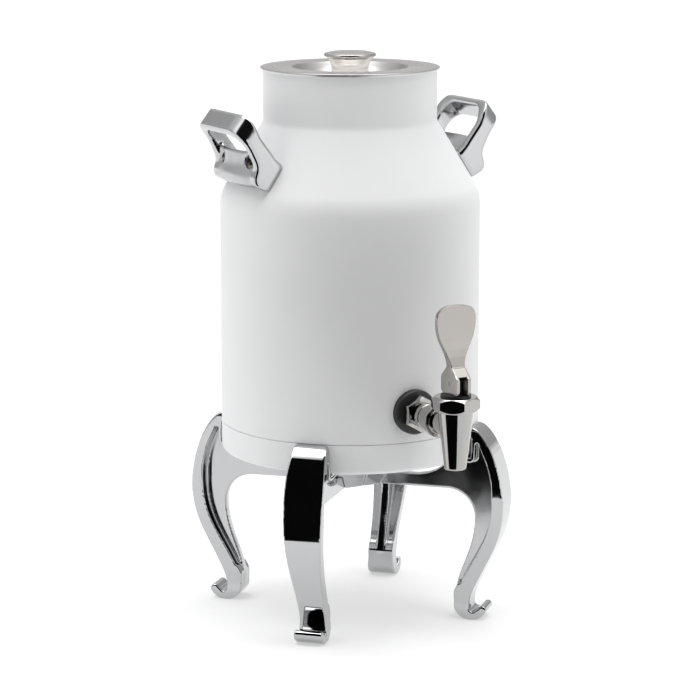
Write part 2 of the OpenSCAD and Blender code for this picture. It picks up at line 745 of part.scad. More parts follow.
arm_z = body_bottom_z - arm_drop;
leg_top_z = body_bottom_z + leg_rise;
ledge_z = body_bottom_z - seat_gap;
ledge_low_z = body_bottom_z - ledge_t;
heel_r_foot = 14;
toe_r = 3.2;
toe_rise = 30;
ankle_z = 29;
tongue_in_r = 14;

// Outer line of a leg, from its top over the knee to the notch above the toe
function leg_outer() = let (k = [body_r + knee_out, knee_z])
    concat(
        bezier([body_r + 1, leg_top_z], [body_r + 10.5, leg_top_z - 1.2], [k.x - 2.4, knee_z + 33], k, 20),
        bezier([k.x, knee_z - 1], [k.x + 0.2, knee_z - 30], [foot_r + 15.5, ankle_z + 24],
            [foot_r + 4.2, ankle_z - 0.5], 24),
        bezier([foot_r + 3.4, ankle_z - 2], [foot_r - 0.6, ankle_z - 10], [foot_r - 1.3, 15],
            [foot_r - 1.2, 10], 8));

// The foot below the notch: toe, flat sole and heel, up to the ankle's inner side
function foot_line() = let (c = [foot_r, heel_r_foot - 0.3],
        toe = c + (heel_r_foot - toe_r) * [cos(toe_rise), -sin(toe_rise)])
    concat(
        arc([foot_r + 1.9, 9.4], 3.1, 190, 335, 9),
        arc(toe, toe_r, 172, -toe_rise, 12),
        [for (p = arc(c, heel_r_foot, 360 - toe_rise, 200, 22)) [p.x, max(p.y, 0)]]);

// Inner line of a leg's web, from the ankle up to the arm's underside
function web_inner() = concat(
    bezier([foot_r - heel_r_foot + 0.1, 18], [foot_r - heel_r_foot + 1.4, 38], [body_r + 1.6, 54],
        [body_r + 1.6, arm_z - arm_corner_r], 18),
    arc([body_r + 1.6 - arm_corner_r, arm_z - arm_corner_r], arm_corner_r, 5, 90, 17));

// Inner line of the strap, from the pocket's top down to where the web dies out
function strap_inner() = let (k = [body_r + knee_out - leg_strap_t - 3.2, knee_z + 4])
    concat(
        bezier([body_r + 7, leg_top_z - 14], [body_r + 11.5, leg_top_z - 24], [k.x, knee_z + 24], k, 16),
        bezier([k.x, knee_z], [k.x + 0.3, knee_z - 30], [foot_r + 2, ankle_z + 22],
            [foot_r - 8, ankle_z], 18));

module web_profile() {
    polygon(concat(leg_outer(), foot_line(), web_inner(), [
        [tongue_in_r, arm_z], [tongue_in_r, arm_z + arm_h]],
        bezier([hub_top_w * 0.72, arm_z + arm_h], [hub_top_w * 0.72 + 16, arm_z + arm_h - 2.4],
            [body_r - 28, arm_z + arm_h], [body_r - 18, ledge_low_z + 1], 6),
        [[body_r - 16, ledge_z], [body_r - 1, ledge_z], [body_r - 1, leg_top_z]]));
}

module flange_profile() {
    pad = body_r + 3.9;
    polygon(concat(leg_outer(), foot_line(),
        [[foot_r - heel_r_foot + 0.4, 22], [foot_r - 10.5, ankle_z - 1]],
        reversed(strap_inner()),
        arc([pad + 1.8, leg_top_z - 13.6], 1.8, 60, 180, 4),
        arc([pad - 4, ledge_low_z + 4], 4, 0, -90, 4),
        [[body_r - ledge_reach, ledge_low_z + 1.6], [body_r - ledge_reach, ledge_z],
            [body_r - 1, ledge_z], [body_r - 1, leg_top_z]]));
}

// Front view of a leg's width, smooth between named widths
module width_profile() {
    right = concat(
        [[toe_w / 2, -1]],
        bezier([toe_w / 2, 4], [toe_w / 2, 9], [ankle_w / 2, 10], [ankle_w / 2, 18], 5),
        bezier([ankle_w / 2, 24], [ankle_w / 2, 55], [knee_w / 2, knee_z - 25], [knee_w / 2, knee_z + 22], 20),
        bezier([knee_w / 2, knee_z + 26], [knee_w / 2, knee_z + 38], [leg_top_w / 2 + 1, leg_top_z - 12],
            [leg_top_w / 2, leg_top_z - 2.5], 5),
        [[leg_top_w / 2 - 2, leg_top_z + 1]]);
    polygon(concat(right, reversed([for (p = right) [-p.x, p.y]])));
}

module leg(angle) {
    color(chrome) rotate(angle) difference() {
        intersection() {
            union() {
                slab(web_t) web_profile();
                slab(60) flange_profile();
            }
            rotate([90, 0, 90]) linear_extrude(big) width_profile();
        }
        translate([0, 0, ledge_z]) cylinder(r = body_r + slide_gap, h = 60, $fn = 180);
        translate([0, 0, ledge_z]) cylinder(r = body_r + 1.8, h = leg_rise - 8.5, $fn = 180);
        rotate(45) plate_pocket(slide_gap);
        translate([hub_screw_r, 0, arm_z]) cylinder(r = hub_screw_d / 2 + fit_gap, h = plate_t + 7, $fn = 32);
    }
}

module leg_front_left() {
    on_axis() leg(225);
}

module leg_front_right() {
    on_axis() leg(315);
}

module leg_rear_left() {
    on_axis() leg(135);
}

module leg_rear_right() {
    on_axis() leg(45);
}

// Everything between two opposite sides of the hub, which flare as they rise
module hub_sides() {
    slab(big) polygon([[-hub_low_w / 2, arm_z], [hub_low_w / 2, arm_z],
        [hub_top_w / 2, arm_z + hub_h], [-hub_top_w / 2, arm_z + hub_h]]);
}

// The square recess for the plate in the hub's underside
module plate_pocket(gap) {
    w = plate_w + 2 * gap;
    translate([-w / 2, -w / 2, arm_z - 1]) cube([w, w, plate_t + 1]);
}

module stand_hub() {
    groove_w = 1.2;
    groove_t = 1.6;
    on_axis() color(chrome) difference() {
        intersection() {
            hub_sides();
            rotate(90) hub_sides();
        }
        for (a = [45:90:315]) rotate(a)
            translate([tongue_in_r - fit_gap, -web_t / 2 - fit_gap, arm_z - 1])
                cube([hub_top_w, web_t + 2 * fit_gap, arm_h + 1 + fit_gap]);
        for (a = [0:90:270]) rotate(a) slab(groove_w) polygon([[hub_low_w / 2 - groove_t, arm_z - 1],
            [hub_low_w / 2 - groove_t, arm_z], [hub_top_w / 2 - groove_t, arm_z + hub_h],
            [hub_top_w / 2 - groove_t, arm_z + hub_h + 1], [hub_top_w, arm_z + hub_h + 1], [hub_top_w, arm_z - 1]]);
        plate_pocket(fit_gap);
    }
}

// A screw head's cone, which sits flush in the plate's underside
module screw_cone(gap) {
    translate([hub_screw_r, 0, arm_z]) cylinder(r1 = hub_screw_d + gap, r2 = hub_screw_d / 2 + gap,
        h = hub_screw_d / 2, $fn = 32);
}

module hub_plate() {
    on_axis() color(steel) difference() {
        translate([-plate_w / 2, -plate_w / 2, arm_z]) cube([plate_w, plate_w, plate_t]);
        for (a = [45:90:315]) rotate(a) {
            screw_cone(fit_gap);
            translate([hub_screw_r, 0, arm_z - 1]) cylinder(r = hub_screw_d / 2 + fit_gap, h = plate_t + 2, $fn = 32);
        }
    }
}

module hub_screws() {
    on_axis() color(steel) for (a = [45:90:315]) rotate(a) difference() {
        union() {
            screw_cone(0);
            translate([hub_screw_r, 0, arm_z]) cylinder(d = hub_screw_d, h = plate_t + 6, $fn = 32);
        }
        translate([hub_screw_r, 0, arm_z - 1]) cylinder(d = hub_screw_d * 0.6, h = 2.4, $fn = 6);
    }
}

leg_front_left();
leg_front_right();
leg_rear_left();
leg_rear_right();
stand_hub();
hub_plate();
hub_screws();
outer_shell();
base_pan();
inner_liner();
liner_pad();
handle_left();
handle_right();
handle_screws();
handle_nuts();
outer_gasket();
outer_nut();
spacer_sleeve();
inner_gasket();
inner_nut();
tap_shank();
tap_body();
bonnet_seal();
tap_bonnet();
thrust_washer();
valve_stem();
seat_cup();
valve_spring();
tap_lever();
lever_pin();
lid_top();
lid_pan();
lid_seal();
lid_knob();
knob_screw();
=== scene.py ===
import bpy
import json
import math
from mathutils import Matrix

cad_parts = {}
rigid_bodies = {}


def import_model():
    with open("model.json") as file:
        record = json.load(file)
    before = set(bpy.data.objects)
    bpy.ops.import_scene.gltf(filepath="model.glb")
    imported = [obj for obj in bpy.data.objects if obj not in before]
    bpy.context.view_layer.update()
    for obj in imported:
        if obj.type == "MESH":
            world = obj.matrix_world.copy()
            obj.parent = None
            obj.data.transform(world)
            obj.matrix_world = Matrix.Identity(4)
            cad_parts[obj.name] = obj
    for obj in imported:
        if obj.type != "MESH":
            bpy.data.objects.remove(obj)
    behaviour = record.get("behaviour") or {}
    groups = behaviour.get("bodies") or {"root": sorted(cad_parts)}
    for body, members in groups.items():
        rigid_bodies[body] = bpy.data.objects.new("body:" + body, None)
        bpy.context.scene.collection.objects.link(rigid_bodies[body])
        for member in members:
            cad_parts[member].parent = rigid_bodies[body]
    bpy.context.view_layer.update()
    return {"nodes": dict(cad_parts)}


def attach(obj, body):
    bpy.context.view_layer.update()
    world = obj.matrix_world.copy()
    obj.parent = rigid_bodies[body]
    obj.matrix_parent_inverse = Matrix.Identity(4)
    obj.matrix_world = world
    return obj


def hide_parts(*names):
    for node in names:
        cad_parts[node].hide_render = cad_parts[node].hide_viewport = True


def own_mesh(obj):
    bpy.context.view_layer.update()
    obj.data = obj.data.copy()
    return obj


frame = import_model()
scene = bpy.context.scene

# Legs
# Four chrome-plated castings with a broad outer strap, a web and an arm that runs in to the hub.
# Each has a pad that steadies the body and a ledge that carries it, and ends in a rolled toe.
# They are screwed to the hub from below and polished all over, except for the web's satin sides.
AXIS_Y = 0.0396  # metres from the frame's origin back to the urn's own upright axis
ONE_POINT = 2e-6  # metres, the distance within which two points are one


def select_only(piece):
    """Selects one object and makes it the active one."""
    bpy.ops.object.select_all(action="DESELECT")
    piece.select_set(True)
    bpy.context.view_layer.objects.active = piece


def joined_copy(name, node):
    """Copies a CAD node and joins its triangles, with no material yet."""
    select_only(frame["nodes"][node])
    bpy.ops.object.duplicate()
    piece = bpy.context.object
    bpy.ops.object.parent_clear(type="CLEAR_KEEP_TRANSFORM")
    piece.name = name
    piece.data.name = name
    bpy.ops.object.mode_set(mode="EDIT")
    bpy.ops.mesh.select_all(action="SELECT")
    bpy.ops.mesh.remove_doubles(threshold=ONE_POINT)
    bpy.ops.mesh.customdata_custom_splitnormals_clear()
    bpy.ops.object.mode_set(mode="OBJECT")
    piece.data.materials.clear()
    return piece


def fit(piece, body, slot, node, *materials):
    """Finishes a piece that stands for a CAD node and rides on a body."""
    for material in materials:
        piece.data.materials.append(material)
    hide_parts(node)
    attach(piece, body)


def cast_piece(name, node, body, slot, *materials, voxel, passes):
    """Softens the edges of a node's copy as casting and polishing do."""
    piece = joined_copy(name, node)
    remesh = piece.modifiers.new("cast", "REMESH")
    remesh.mode = "VOXEL"
    remesh.voxel_size = voxel
    remesh.use_smooth_shade = True
    polish = piece.modifiers.new("polish", "SMOOTH")
    polish.factor = 0.5
    polish.iterations = passes
    bpy.ops.object.modifier_apply(modifier="cast")
    bpy.ops.object.modifier_apply(modifier="polish")
    fit(piece, body, slot, node, *materials)
    return piece


def new_finish(name, colour, metallic=0):
    """Starts a material, and gives it with its nodes, its links and its shader."""
    made = bpy.data.materials.new(name)
    made.use_nodes = True
    nodes, link = made.node_tree.nodes, made.node_tree.links.new
    shader = nodes["Principled BSDF"]
    shader.inputs["Base Color"].default_value = (*colour, 1)
    shader.inputs["Metallic"].default_value = metallic
    return made, nodes, link, shader


def grain(nodes, link, place, scale, detail):
    """Gives the strength of a noise that follows a place on the piece."""
    noise = nodes.new("ShaderNodeTexNoise")
    noise.inputs["Scale"].default_value = scale
    noise.inputs["Detail"].default_value = detail
    link(place, noise.inputs["Vector"])
    return noise.outputs["Fac"]


def dull(nodes, link, shader, strength, shine, film, start=0, end=1):
    """Takes the roughness from shine to film as a strength goes from start to end."""
    spread = nodes.new("ShaderNodeMapRange")
    for socket, value in (("From Min", start), ("From Max", end), ("To Min", shine), ("To Max", film)):
        spread.inputs[socket].default_value = value
    link(strength, spread.inputs["Value"])
    link(spread.outputs["Result"], shader.inputs["Roughness"])


def raise_grain(nodes, link, shader, strength, depth, share):
    """Lifts the surface with a strength, to a depth in metres."""
    bump = nodes.new("ShaderNodeBump")
    bump.inputs["Strength"].default_value = share
    bump.inputs["Distance"].default_value = depth
    link(strength, bump.inputs["Height"])
    link(bump.outputs["Normal"], shader.inputs["Normal"])


def bright_chrome(name, roughness, wave, colour=(0.5, 0.503, 0.51)):
    """Chrome over a casting: nearly a mirror, with faint polishing waves and a film of fine scratches."""
    made, nodes, link, shader = new_finish(name, colour, metallic=1)
    place = nodes.new("ShaderNodeTexCoord").outputs["Object"]
    scratches = grain(nodes, link, place, scale=38, detail=5)
    dull(nodes, link, shader, scratches, roughness * 0.7, roughness * 1.5, start=0.35, end=0.75)
    ripple = grain(nodes, link, place, scale=55, detail=1)
    raise_grain(nodes, link, shader, ripple, depth=wave, share=1)
    return made


leg_chrome = bright_chrome("leg_chrome", roughness=0.045, wave=0.00002)
web_chrome = bright_chrome("web_chrome", roughness=0.13, wave=0.00004)
WEB_HALF = 0.0042  # metres from the middle of the web to just outside its flat sides
for node in ("leg_front_left", "leg_front_right", "leg_rear_left", "leg_rear_right"):
    leg = cast_piece(node + "_casting", node, "stand", "chrome_casting", leg_chrome, web_chrome,
                     voxel=0.00055, passes=14)
    side = 1 if node.endswith("right") else -1
    reach = -1 if "front" in node else 1
    for face in leg.data.polygons:
        across = (face.center.x * reach - (face.center.y - AXIS_Y) * side) * side / math.sqrt(2)
        lies = (face.normal.x * reach - face.normal.y * side) / math.sqrt(2)
        if abs(across) < WEB_HALF and abs(lies) > 0.9:
            face.material_index = 1

# Hub and its plate
# A cast block that flares upwards takes the tongues of the four arms in slots, with a groove down each side.
# A square plate let in to its underside closes the slots, and four screws go up through it into the tongues.
cast_piece("hub_block", "stand_hub", "stand", "chrome_casting", leg_chrome, voxel=0.00045, passes=5)


def plain_steel(name, colour, roughness):
    """Stainless steel with a faint mottled finish."""
    made, nodes, link, shader = new_finish(name, colour, metallic=1)
    place = nodes.new("ShaderNodeTexCoord").outputs["Object"]
    mottle = grain(nodes, link, place, scale=420, detail=3)
    dull(nodes, link, shader, mottle, roughness * 0.7, roughness * 1.4)
    return made


def dress(node, material):
    """Gives a CAD node that stays as it is its finish."""
    mesh = frame["nodes"][node].data
    mesh.materials.clear()
    mesh.materials.append(material)


fixing_steel = plain_steel("fixing_steel", (0.52, 0.51, 0.5), roughness=0.3)
dress("hub_screws", fixing_steel)
dress("hub_plate", plain_steel("plate_steel", (0.62, 0.61, 0.59), roughness=0.28))

# Base pan
# The lower band of the body and its underside, pressed from one sheet and coated white.
# The shell slips over its upstand and leaves a fine open seam.


def rounded(line, steps=8, most=0.95):
    """Rounds the corners of an open line of (radius, height, corner radius), all in millimetres.

    A corner takes up the given share of its shorter side at most.
    """
    out = []
    for i, (x, y, r) in enumerate(line):
        if r == 0 or i in (0, len(line) - 1):
            out.append((x, y))
            continue
        ax, ay = line[i - 1][0] - x, line[i - 1][1] - y
        cx, cy = line[i + 1][0] - x, line[i + 1][1] - y
        la, lc = math.hypot(ax, ay), math.hypot(cx, cy)
        ax, ay, cx, cy = ax / la, ay / la, cx / lc, cy / lc
        half = math.acos(max(-1, min(1, ax * cx + ay * cy))) / 2
        cut = min(r / math.tan(half), la * most, lc * most)
        r = cut * math.tan(half)
        mx, my = ax + cx, ay + cy
        far = r / math.sin(half) / math.hypot(mx, my)
        ox, oy = x + mx * far, y + my * far
        start = math.atan2(y + ay * cut - oy, x + ax * cut - ox)
        end = math.atan2(y + cy * cut - oy, x + cx * cut - ox)
        turn = (end - start + math.pi) % (2 * math.pi) - math.pi
        out += [(ox + r * math.cos(start + turn * k / steps), oy + r * math.sin(start + turn * k / steps))
                for k in range(steps + 1)]
    return out


def lathe(name, line, material, at=(0, AXIS_Y, 0), along="Z", steps=144):
    """Spins a line of (radius, distance) in millimetres about an axis through a point in metres."""
    bpy.ops.object.select_all(action="DESELECT")
    x, y, z = at
    lift = (0, 0, 0.001) if along == "Z" else (0, 0.001, 0)
    first = (x + line[0][0] / 1000, y + line[0][1] * lift[1], z + line[0][1] * lift[2])
    bpy.ops.mesh.primitive_plane_add(size=0.001, location=first)
    piece = bpy.context.object
    bpy.ops.object.transform_apply(location=True, rotation=True, scale=True)
    piece.name = name
    piece.data.name = name
    bpy.ops.object.mode_set(mode="EDIT")
    bpy.ops.mesh.merge(type="CENTER")
    for (r0, h0), (r1, h1) in zip(line, line[1:]):
        step = ((r1 - r0) / 1000, (h1 - h0) * lift[1], (h1 - h0) * lift[2])
        bpy.ops.mesh.extrude_region_move(TRANSFORM_OT_translate={"value": step})
    bpy.ops.mesh.select_all(action="SELECT")
    bpy.ops.mesh.spin(steps=steps, angle=2 * math.pi, center=at, axis=(0, 0, 1) if along == "Z" else (0, 1, 0))
    bpy.ops.mesh.select_all(action="SELECT")
    bpy.ops.mesh.remove_doubles(threshold=ONE_POINT)
    bpy.ops.mesh.normals_make_consistent(inside=False)
    bpy.ops.object.mode_set(mode="OBJECT")
    bpy.ops.object.shade_smooth_by_angle(angle=math.radians(32))
    piece.data.materials.clear()
    piece.data.materials.append(material)
    return piece


def turned(name, node, body, slot, line, material, **how):
    """Turns a piece that stands for a CAD node, as on a lathe."""
    piece = lathe(name, line, material, **how)
    fit(piece, body, slot, node)
    return piece


def powder_coat(name):
    """Matte white powder coat with the fine orange peel of baked powder."""
    made, nodes, link, shader = new_finish(name, (0.8, 0.8, 0.8))
    shader.inputs["Specular IOR Level"].default_value = 0.35
    place = nodes.new("ShaderNodeTexCoord").outputs["Object"]
    peel = grain(nodes, link, place, scale=1400, detail=3)
    dull(nodes, link, shader, peel, 0.46, 0.62)
    raise_grain(nodes, link, shader, peel, depth=0.00004, share=0.5)
    tint = nodes.new("ShaderNodeValToRGB")
    tint.color_ramp.elements[0].position = 0.35
    tint.color_ramp.elements[0].color = (0.835, 0.838, 0.845, 1)
    tint.color_ramp.elements[1].position = 0.7
    tint.color_ramp.elements[1].color = (0.855, 0.858, 0.863, 1)
    link(grain(nodes, link, place, scale=14, detail=3), tint.inputs["Fac"])
    link(tint.outputs["Color"], shader.inputs["Base Color"])
    return made


BODY_R, SHEET = 100, 1  # millimetres, as all sizes of turned lines are
UNDERSIDE, SEAM_Z = 130.4, 153.2
white_coat = powder_coat("white_powder_coat")
pan_line = rounded([(0, UNDERSIDE, 0), (BODY_R, UNDERSIDE, 4), (BODY_R, SEAM_Z, 0.35), (BODY_R - SHEET, SEAM_Z, 0),
                    (BODY_R - SHEET, SEAM_Z + 9, 0), (BODY_R - 2 * SHEET, SEAM_Z + 9, 0),
                    (BODY_R - 2 * SHEET, SEAM_Z - 1, 0), (BODY_R - SHEET, SEAM_Z - 2.2, 0),
                    (BODY_R - SHEET, UNDERSIDE + SHEET, 3), (0, UNDERSIDE + SHEET, 0)])
turned("body_base_pan", "base_pan", "urn", "white_coat", pan_line, white_coat, steps=192)

# Outer shell
# One sheet drawn and rolled to the wall, the rounded shoulder, the cone and the neck, coated white.
# Its top edge is turned in over the liner's lip under the lid.
LEAN = math.radians(31.2)  # how far the cone leans in
WALL_TOP, SHOULDER_R = 321.5, 32
NECK_R, CROOK_R = 66.5, 8
low_r = BODY_R - SHOULDER_R * (1 - math.cos(LEAN))
low_z = WALL_TOP + SHOULDER_R * math.sin(LEAN)
high_r = NECK_R + CROOK_R * (1 - math.cos(LEAN))
high_z = low_z + (low_r - high_r) / math.tan(LEAN)
neck_z = high_z + CROOK_R * math.sin(LEAN)
neck_top = neck_z + 36.6
shell_line = [(BODY_R, SEAM_Z + 0.75), (BODY_R, 170), (BODY_R, 240), (BODY_R, 300)]
shell_line += [(BODY_R - SHOULDER_R + SHOULDER_R * math.cos(a), WALL_TOP + SHOULDER_R * math.sin(a))
               for a in [LEAN * k / 16 for k in range(17)]]
shell_line += [(NECK_R + CROOK_R - CROOK_R * math.cos(a), neck_z - CROOK_R * math.sin(a))
               for a in [LEAN - LEAN * k / 8 for k in range(9)]]
shell_line += [(NECK_R, neck_top), (NECK_R - SHEET, neck_top), (NECK_R - SHEET, neck_z),
               (high_r - SHEET, high_z), (low_r - SHEET, low_z), (BODY_R - SHEET, WALL_TOP),
               (BODY_R - SHEET, SEAM_Z + 0.4), (BODY_R - 0.3, SEAM_Z + 0.4), (BODY_R, SEAM_Z + 0.75)]
turned("body_outer_shell", "outer_shell", "urn", "white_coat", shell_line, white_coat, steps=192)

# Liner, its pad and the fixings inside the wall
# A deep-drawn stainless liner hangs from its lip on the neck and rests on a firm pad.
# Shaped nuts, a sleeve and gaskets sit in the space between liner and shell.


def turned_steel(name, colour, roughness, rings, depth):
    """Stainless steel with the fine rings that turning and spinning leave about the urn's axis."""
    made, nodes, link, shader = new_finish(name, colour, metallic=1)
    centre = nodes.new("ShaderNodeMapping")
    centre.inputs["Location"].default_value = (0, -AXIS_Y, 0)
    split = nodes.new("ShaderNodeSeparateXYZ")
    flat = nodes.new("ShaderNodeCombineXYZ")
    radius = nodes.new("ShaderNodeVectorMath")
    radius.operation = "LENGTH"
    ring = nodes.new("ShaderNodeCombineXYZ")
    link(nodes.new("ShaderNodeTexCoord").outputs["Object"], centre.inputs["Vector"])
    link(centre.outputs["Vector"], split.inputs["Vector"])
    link(split.outputs["X"], flat.inputs["X"])
    link(split.outputs["Y"], flat.inputs["Y"])
    link(flat.outputs["Vector"], radius.inputs[0])
    link(radius.outputs["Value"], ring.inputs["X"])
    link(split.outputs["Z"], ring.inputs["Z"])
    rows = grain(nodes, link, ring.outputs["Vector"], scale=rings, detail=4)
    dull(nodes, link, shader, rows, roughness * 0.8, roughness * 1.3, start=0.3, end=0.7)
    raise_grain(nodes, link, shader, rows, depth, share=0.6)
    return made


def moulded_rubber(name, colour, roughness):
    """Moulded rubber, foam or silicone with a fine grain."""
    made, nodes, link, shader = new_finish(name, colour)
    place = nodes.new("ShaderNodeTexCoord").outputs["Object"]
    pores = grain(nodes, link, place, scale=900, detail=4)
    dull(nodes, link, shader, pores, roughness * 0.8, roughness * 1.2)
    raise_grain(nodes, link, shader, pores, depth=0.00005, share=0.4)
    return made


liner_steel = turned_steel("liner_steel", (0.7, 0.7, 0.7), roughness=0.3, rings=700, depth=0.00002)
black_rubber = moulded_rubber("black_rubber", (0.012, 0.012, 0.013), roughness=0.42)
dress("inner_liner", liner_steel)
dress("liner_pad", moulded_rubber("grey_foam", (0.16, 0.16, 0.17), roughness=0.8))
dress("handle_nuts", fixing_steel)
dress("spacer_sleeve", black_rubber)
dress("inner_gasket", black_rubber)
dress("inner_nut", fixing_steel)

# Handles
# Two chrome-plated cast loops stand out of the shoulder, each with a flat-faced bar and a satin scooped saddle.
# Two screws in deep wells hold each saddle to shaped nuts inside the shell.
handle_chrome = bright_chrome("handle_chrome", roughness=0.12, wave=0.00003)
scoop_chrome = bright_chrome("scoop_chrome", roughness=0.32, wave=0.00005)
SCOOP_HALF, SCOOP_TOP = 0.0275, 0.374  # metres, the saddle between the arms and below the finger gap
for node in ("handle_left", "handle_right"):
    grip = cast_piece(node + "_casting", node, "urn", "chrome_casting", handle_chrome, scoop_chrome,
                      voxel=0.00045, passes=140)
    for face in grip.data.polygons:
        between = abs(face.center.y - AXIS_Y) < SCOOP_HALF and face.center.z < SCOOP_TOP
        if between and abs(face.normal.y) < 0.7:
            face.material_index = 1
# Painted shade: the screws at the bottom of the deep wells get a darker, browner steel than the other fixings.
dress("handle_screws", plain_steel("painted_well_shade_steel", (0.3, 0.27, 0.23), roughness=0.35))

# Tap's fixing
# A black moulded gasket seats on the curved wall, and a hexagonal nut draws the threaded shank tight.
# A plain barrel runs from the nut to the tap's flange. All but the gasket is polished stainless steel.
SHANK_Z = 0.177  # metres, the height of the shank's own axis
SHANK_R, BARREL_R, GROOVE_R, BORE_R, GASKET_R = 8, 9.8, 9.2, 5.25, 17  # millimetres
WALL, NUT_BACK, NUT_FRONT, FLANGE = -98, -105, -114, -135  # millimetres along Y from the urn's axis
gasket_bore = SHANK_R + 0.05
on_shank = {"at": (0, AXIS_Y, SHANK_Z), "along": "Y"}
gasket_line = rounded([(gasket_bore, NUT_BACK, 0), (GASKET_R, NUT_BACK, 2), (GASKET_R, WALL, 0),
                       (gasket_bore, WALL, 0), (gasket_bore, NUT_BACK, 0)])
turned("shank_gasket", "outer_gasket", "urn", "black_rubber", gasket_line, black_rubber, steps=96, **on_shank)
tap_polish = bright_chrome("tap_polish", roughness=0.06, wave=0.00001, colour=(0.43, 0.42, 0.405))


def hexagon(radius, depth, location, rotation):
    """Adds a solid six-sided block, with its radius out to the corners."""
    bpy.ops.object.select_all(action="DESELECT")
    bpy.ops.mesh.primitive_cylinder_add(vertices=6, radius=radius, depth=depth, location=location,
                                        rotation=rotation)
    return bpy.context.object


def cut_and_soften(piece, form):
    """Keeps what a piece shares with a form, which is then thrown away, and breaks the sharp edges."""
    cut = piece.modifiers.new("form", "BOOLEAN")
    cut.operation = "INTERSECT"
    cut.object = form
    soften = piece.modifiers.new("soften", "BEVEL")
    soften.width = 0.00035
    soften.segments = 2
    soften.limit_method = "ANGLE"
    soften.angle_limit = math.radians(25)
    select_only(piece)
    bpy.ops.object.modifier_apply(modifier="form")
    bpy.ops.object.modifier_apply(modifier="soften")
    bpy.ops.object.shade_smooth_by_angle(angle=math.radians(25))
    bpy.data.objects.remove(form)


NUT_ACROSS = 0.024  # metres between the nut's flats
nut_middle = (0, -0.0699, SHANK_Z)
nut = hexagon(NUT_ACROSS / math.sqrt(3), 0.009, nut_middle, (math.pi / 2, 0, 0))
nut.name = "shank_hex_nut"
bpy.ops.object.transform_apply(location=True, rotation=True, scale=True)
chamfer_line = [(0, NUT_FRONT), (12.1, NUT_FRONT), (14.2, NUT_FRONT + 1.2), (14.2, NUT_BACK - 1.2),
                (12.1, NUT_BACK), (0, NUT_BACK)]
cut_and_soften(nut, lathe("nut_chamfer_form", chamfer_line, tap_polish, **on_shank))
nut.data.materials.clear()
fit(nut, "urn", "tap_steel", "outer_nut", tap_polish)
shank_line = rounded([(BORE_R, FLANGE, 0), (BARREL_R, FLANGE, 0.4), (BARREL_R, -124.5, 0.3), (GROOVE_R, -124, 0.3),
                      (GROOVE_R, -122.5, 0.3), (BARREL_R, -122, 0.3), (BARREL_R, NUT_FRONT, 0.4),
                      (SHANK_R, NUT_FRONT, 0), (SHANK_R, -77.2, 0.5), (BORE_R, -77.2, 0), (BORE_R, FLANGE, 0)],
                     steps=4)
turned("tap_barrel", "tap_shank", "urn", "tap_steel", shank_line, tap_polish, steps=96, **on_shank)

# Tap body and bonnet
# A stainless body tapers down to the spout and is joined to the barrel by a flange.
# A hexagonal bonnet with curved chamfers caps it and guides the stem.
# A rubber seal lies below the bonnet and a washer on top of it.
TAP_Y = -0.1214  # metres from the frame's origin to the tap's upright axis
BONNET_CORNER = 0.0182  # metres from that axis out to the bonnet's corners
cast_piece("tap_spout_body", "tap_body", "urn", "tap_steel", tap_polish, voxel=0.0003, passes=6)
bonnet_line = [(3.05, 197.4), (14.3, 197.4), (14.3, 189.6), (15.3, 189.6), (18.4, 192.5), (18.4, 197.5),
               (15.3, 200.4), (3.05, 200.4), (3.05, 197.4)]
bonnet = turned("tap_bonnet_nut", "tap_bonnet", "urn", "tap_steel", bonnet_line, tap_polish, at=(0, TAP_Y, 0),
                steps=128)
cut_and_soften(bonnet, hexagon(BONNET_CORNER, 0.02, (0, TAP_Y, 0.195), (0, 0, math.radians(-10))))
dress("bonnet_seal", black_rubber)
dress("thrust_washer", black_rubber)

# Valve
# The stem carries a silicone cup that closes the seat. A coil spring between bonnet and stem holds it down.
# The spring's copy keeps one shape and does not shorten as the stem rises.
dress("valve_stem", tap_polish)
dress("seat_cup", moulded_rubber("white_silicone", (0.8, 0.8, 0.77), roughness=0.4))
dress("lever_pin", tap_polish)
spring = joined_copy("valve_coil", "valve_spring")
bpy.ops.object.shade_smooth()
fit(spring, "urn", "tap_steel", "valve_spring", fixing_steel)
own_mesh(spring)

# Lever
# A softly polished casting: a slotted block straddles the stem's tongue, and a teardrop paddle stands on it.
lever_steel = plain_steel("lever_steel", (0.42, 0.4, 0.38), roughness=0.2)
cast_piece("tap_lever_paddle", "tap_lever", "lever", "tap_lever_steel", lever_steel, voxel=0.0003, passes=8)

# Lid
# A spun stainless disc with a rolled edge and a dished well, closed below by a pan with a seal ring.
# A turned spool of a knob is screwed to the bottom of the well.
DISC = 1.4  # millimetres, the thickness of the lid's disc
DISH_R = 24  # millimetres, the curve of the well's side in section
EDGE_R, MOUTH_R, SCREW_R = 67.9, 43.8, 2.8  # millimetres, the disc's edge, the well's mouth and the screw's hole
lid_z = neck_top + 0.8 + DISC
bend = math.acos(1 - 12.6 / DISH_R)
well_r = MOUTH_R - DISH_R * math.sin(bend)
well_z = lid_z - 14
well = [(well_r + DISH_R * math.sin(bend * k / 14), well_z + DISH_R - DISH_R * math.cos(bend * k / 14))
        for k in range(15)]
lid_line = [(SCREW_R, well_z - DISC), (well_r, well_z - DISC)]
lid_line += [(r + 0.2, z - DISC) for r, z in well[1:]]
lid_line += [(MOUTH_R + DISC, lid_z - DISC), (EDGE_R, lid_z - DISC)]
lid_line += [(EDGE_R + DISC / 2 * math.cos(a), lid_z - DISC / 2 + DISC / 2 * math.sin(a))
             for a in [math.radians(angle) for angle in range(-75, 91, 15)]]
lid_line += [(45.6, lid_z), (44.6, lid_z - 0.3)] + well[::-1]
lid_line += [(SCREW_R, well_z), (SCREW_R, well_z - DISC)]
lid_steel = turned_steel("lid_steel", (0.48, 0.47, 0.46), roughness=0.26, rings=900, depth=0.00003)
turned("lid_dished_top", "lid_top", "lid", "satin_steel", lid_line, lid_steel, steps=192)
